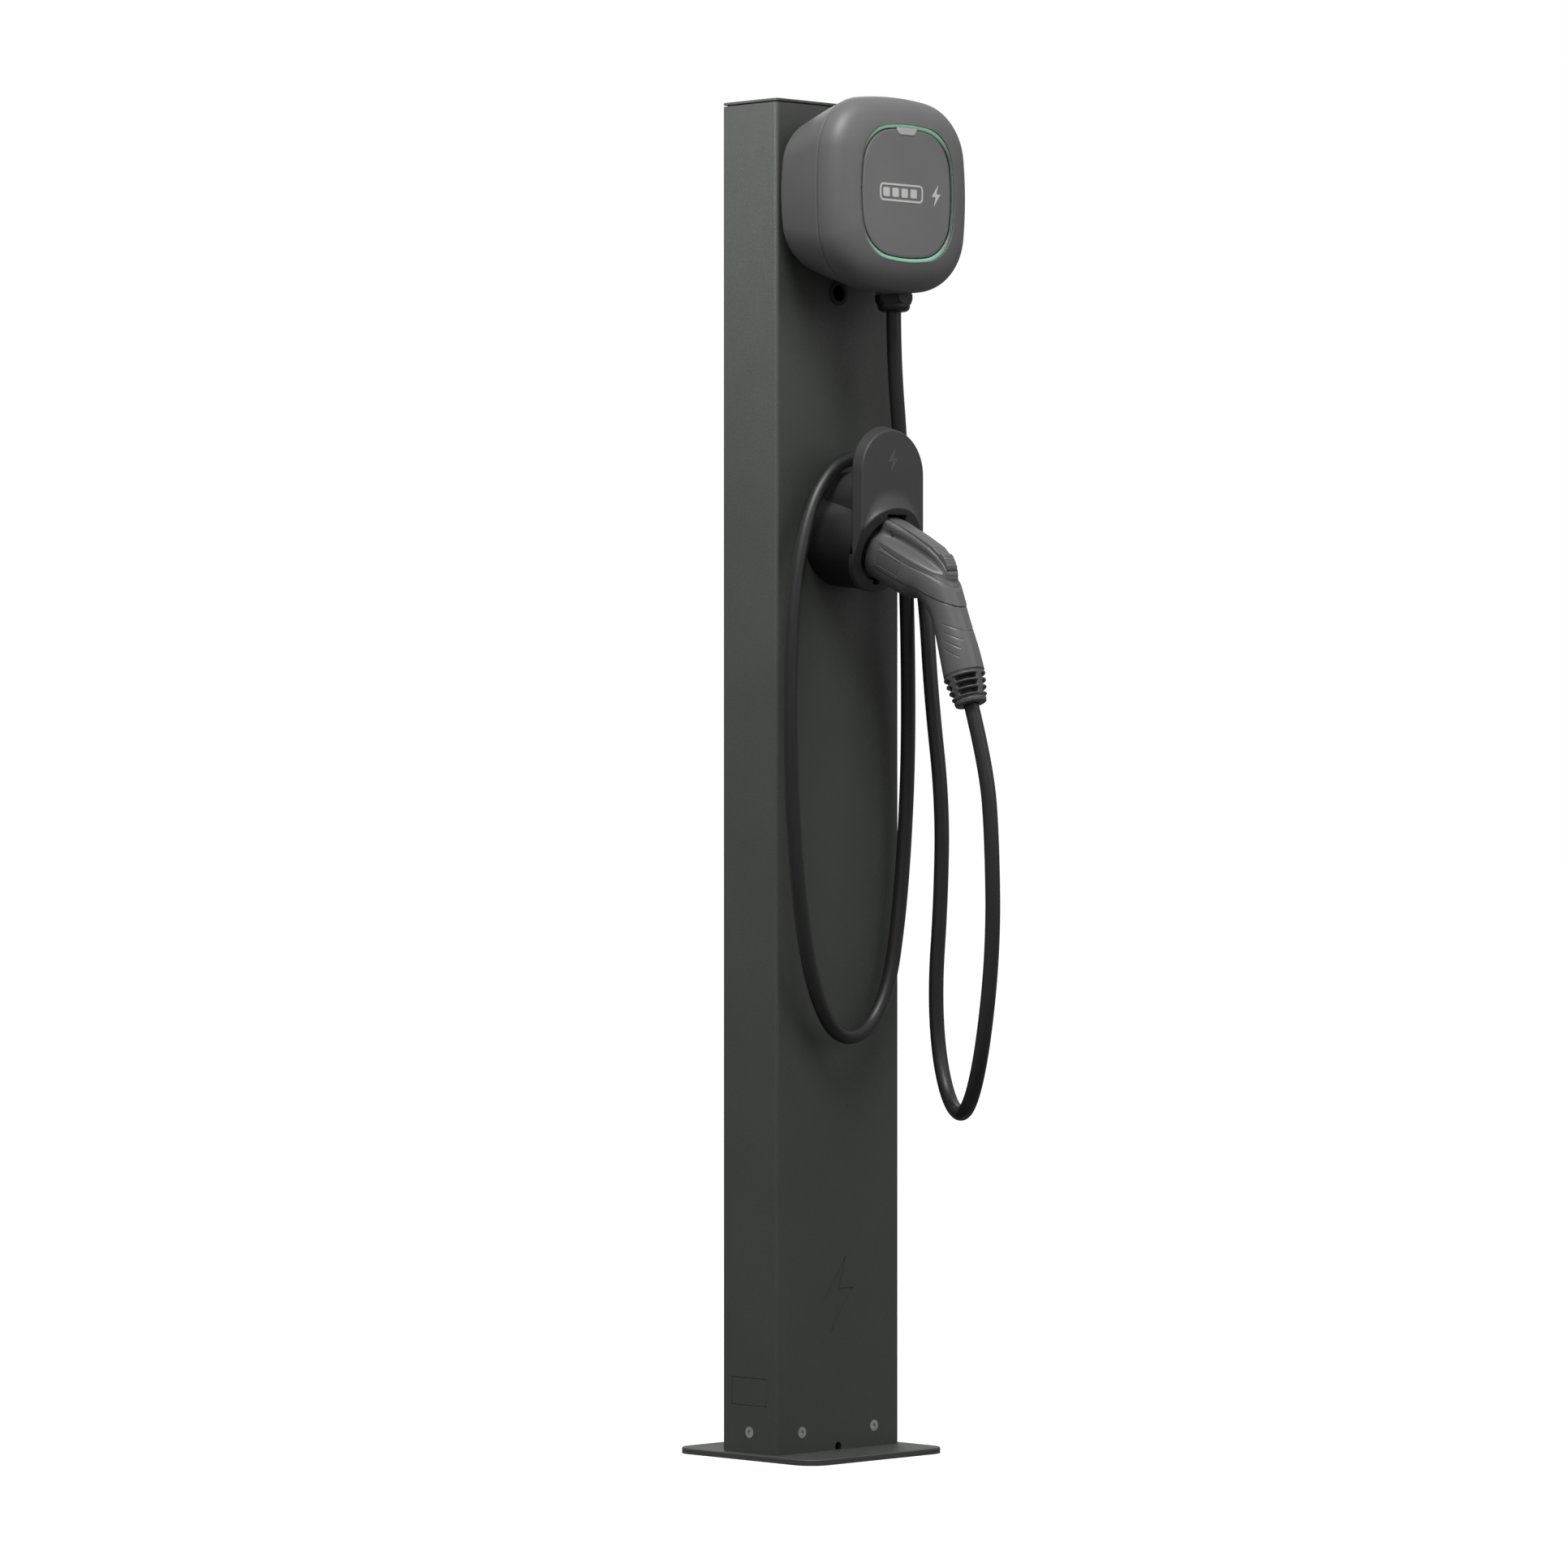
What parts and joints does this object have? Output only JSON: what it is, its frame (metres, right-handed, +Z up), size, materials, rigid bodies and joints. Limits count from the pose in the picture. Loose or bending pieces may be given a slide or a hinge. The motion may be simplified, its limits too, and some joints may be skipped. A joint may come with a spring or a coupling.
{
  "type": "ev charging post",
  "caption": "Free-standing steel post with a wall-type EV charger, a connector holster and one hung charging cable ending in a latched handheld connector.",
  "frame": {"origin": "centre of the base plate underside, which is the centre of the anchor bolt pattern", "axes": "+Z up along the post, -Y is the charger side, +X to the right seen from the charger side"},
  "size_m": [0.2078, 0.3666, 1.3715],
  "materials": {
    "post_paint": "fine-textured powder coat",
    "bright_steel": "zinc-plated steel",
    "bracket_zinc": "galvanised sheet",
    "charger_shell": "fine-grained moulding",
    "charger_cover": "fine-grained moulding",
    "light_ring": "translucent",
    "front_panel": "satin",
    "pale_mark": "printed",
    "dim_mark": "printed",
    "black_nylon": "moulded nylon",
    "black_rubber": "matt",
    "holster_plastic": "fine-grained moulding",
    "connector_plastic": "fine-grained moulding",
    "contact_insulator": "satin",
    "contact_silver": "silver-plated",
    "boot_rubber": "matt",
    "cable_jacket": "satin jacket",
    "circuit_board": "solder mask",
    "relay_case": "moulded",
    "terminal_plastic": "moulded"
  },
  "bodies": {
    "root": {"base_plate": "post_paint", "base_spigot": "post_paint", "post_body": "post_paint", "post_cap": "post_paint", "side_entry_blank": "post_paint", "base_screws": "bright_steel", "cap_screws": "bright_steel", "bracket_screws": "bright_steel", "holster_screws": "bright_steel", "lock_screws": "bright_steel", "cover_screws": "bright_steel", "faceplate_screws": "bright_steel", "bracket_rivet_nuts": "bright_steel", "holster_rivet_nuts": "bright_steel", "earth_stud": "bright_steel", "charger_bracket": "bracket_zinc", "charger_rear_shell": "charger_shell", "charger_front_cover": "charger_cover", "light_ring": "light_ring", "front_panel": "front_panel", "panel_icon": "pale_mark", "panel_tag": "pale_mark", "holster_icon": "dim_mark", "gland_body": "black_nylon", "gland_nut": "black_nylon", "gland_locknut": "black_nylon", "cable_grommet": "black_rubber", "cover_gasket": "black_rubber", "supply_entry_seal": "black_rubber", "gland_seal": "black_rubber", "holster_body": "holster_plastic", "holster_faceplate": "holster_plastic", "holster_liner": "holster_plastic", "charging_cable": "cable_jacket", "main_board": "circuit_board", "led_board": "circuit_board", "power_relays": "relay_case", "current_sensor": "relay_case", "terminal_block": "terminal_plastic"},
    "connector": {"connector_left_shell": "connector_plastic", "connector_right_shell": "connector_plastic", "connector_label": "connector_plastic", "shell_screws": "bright_steel", "nose_barrel": "connector_plastic", "contact_insert": "contact_insulator", "contact_sleeves": "contact_silver", "latch_pivot_pin": "bright_steel", "latch_spring": "bright_steel", "proximity_switch": "black_nylon", "strain_relief_boot": "boot_rubber", "cable_clamp": "black_nylon", "charging_cable_tail": "cable_jacket"},
    "latch": {"latch_lever": "connector_plastic"}
  },
  "joints": [
    {"name": "connector_slide", "type": "slide", "parent": "root", "child": "connector", "axis": [0, -0.9135, -0.4067], "range_m": [0, 0.06]},
    {"name": "latch_press", "type": "hinge", "parent": "connector", "child": "latch", "pos_m": [0, -0.1288, 0.93202], "axis": [1, 0, 0], "range_deg": [0, 4], "stiffness_Nm_per_rad": 0.8, "springref_deg": -6.88}
  ]
}
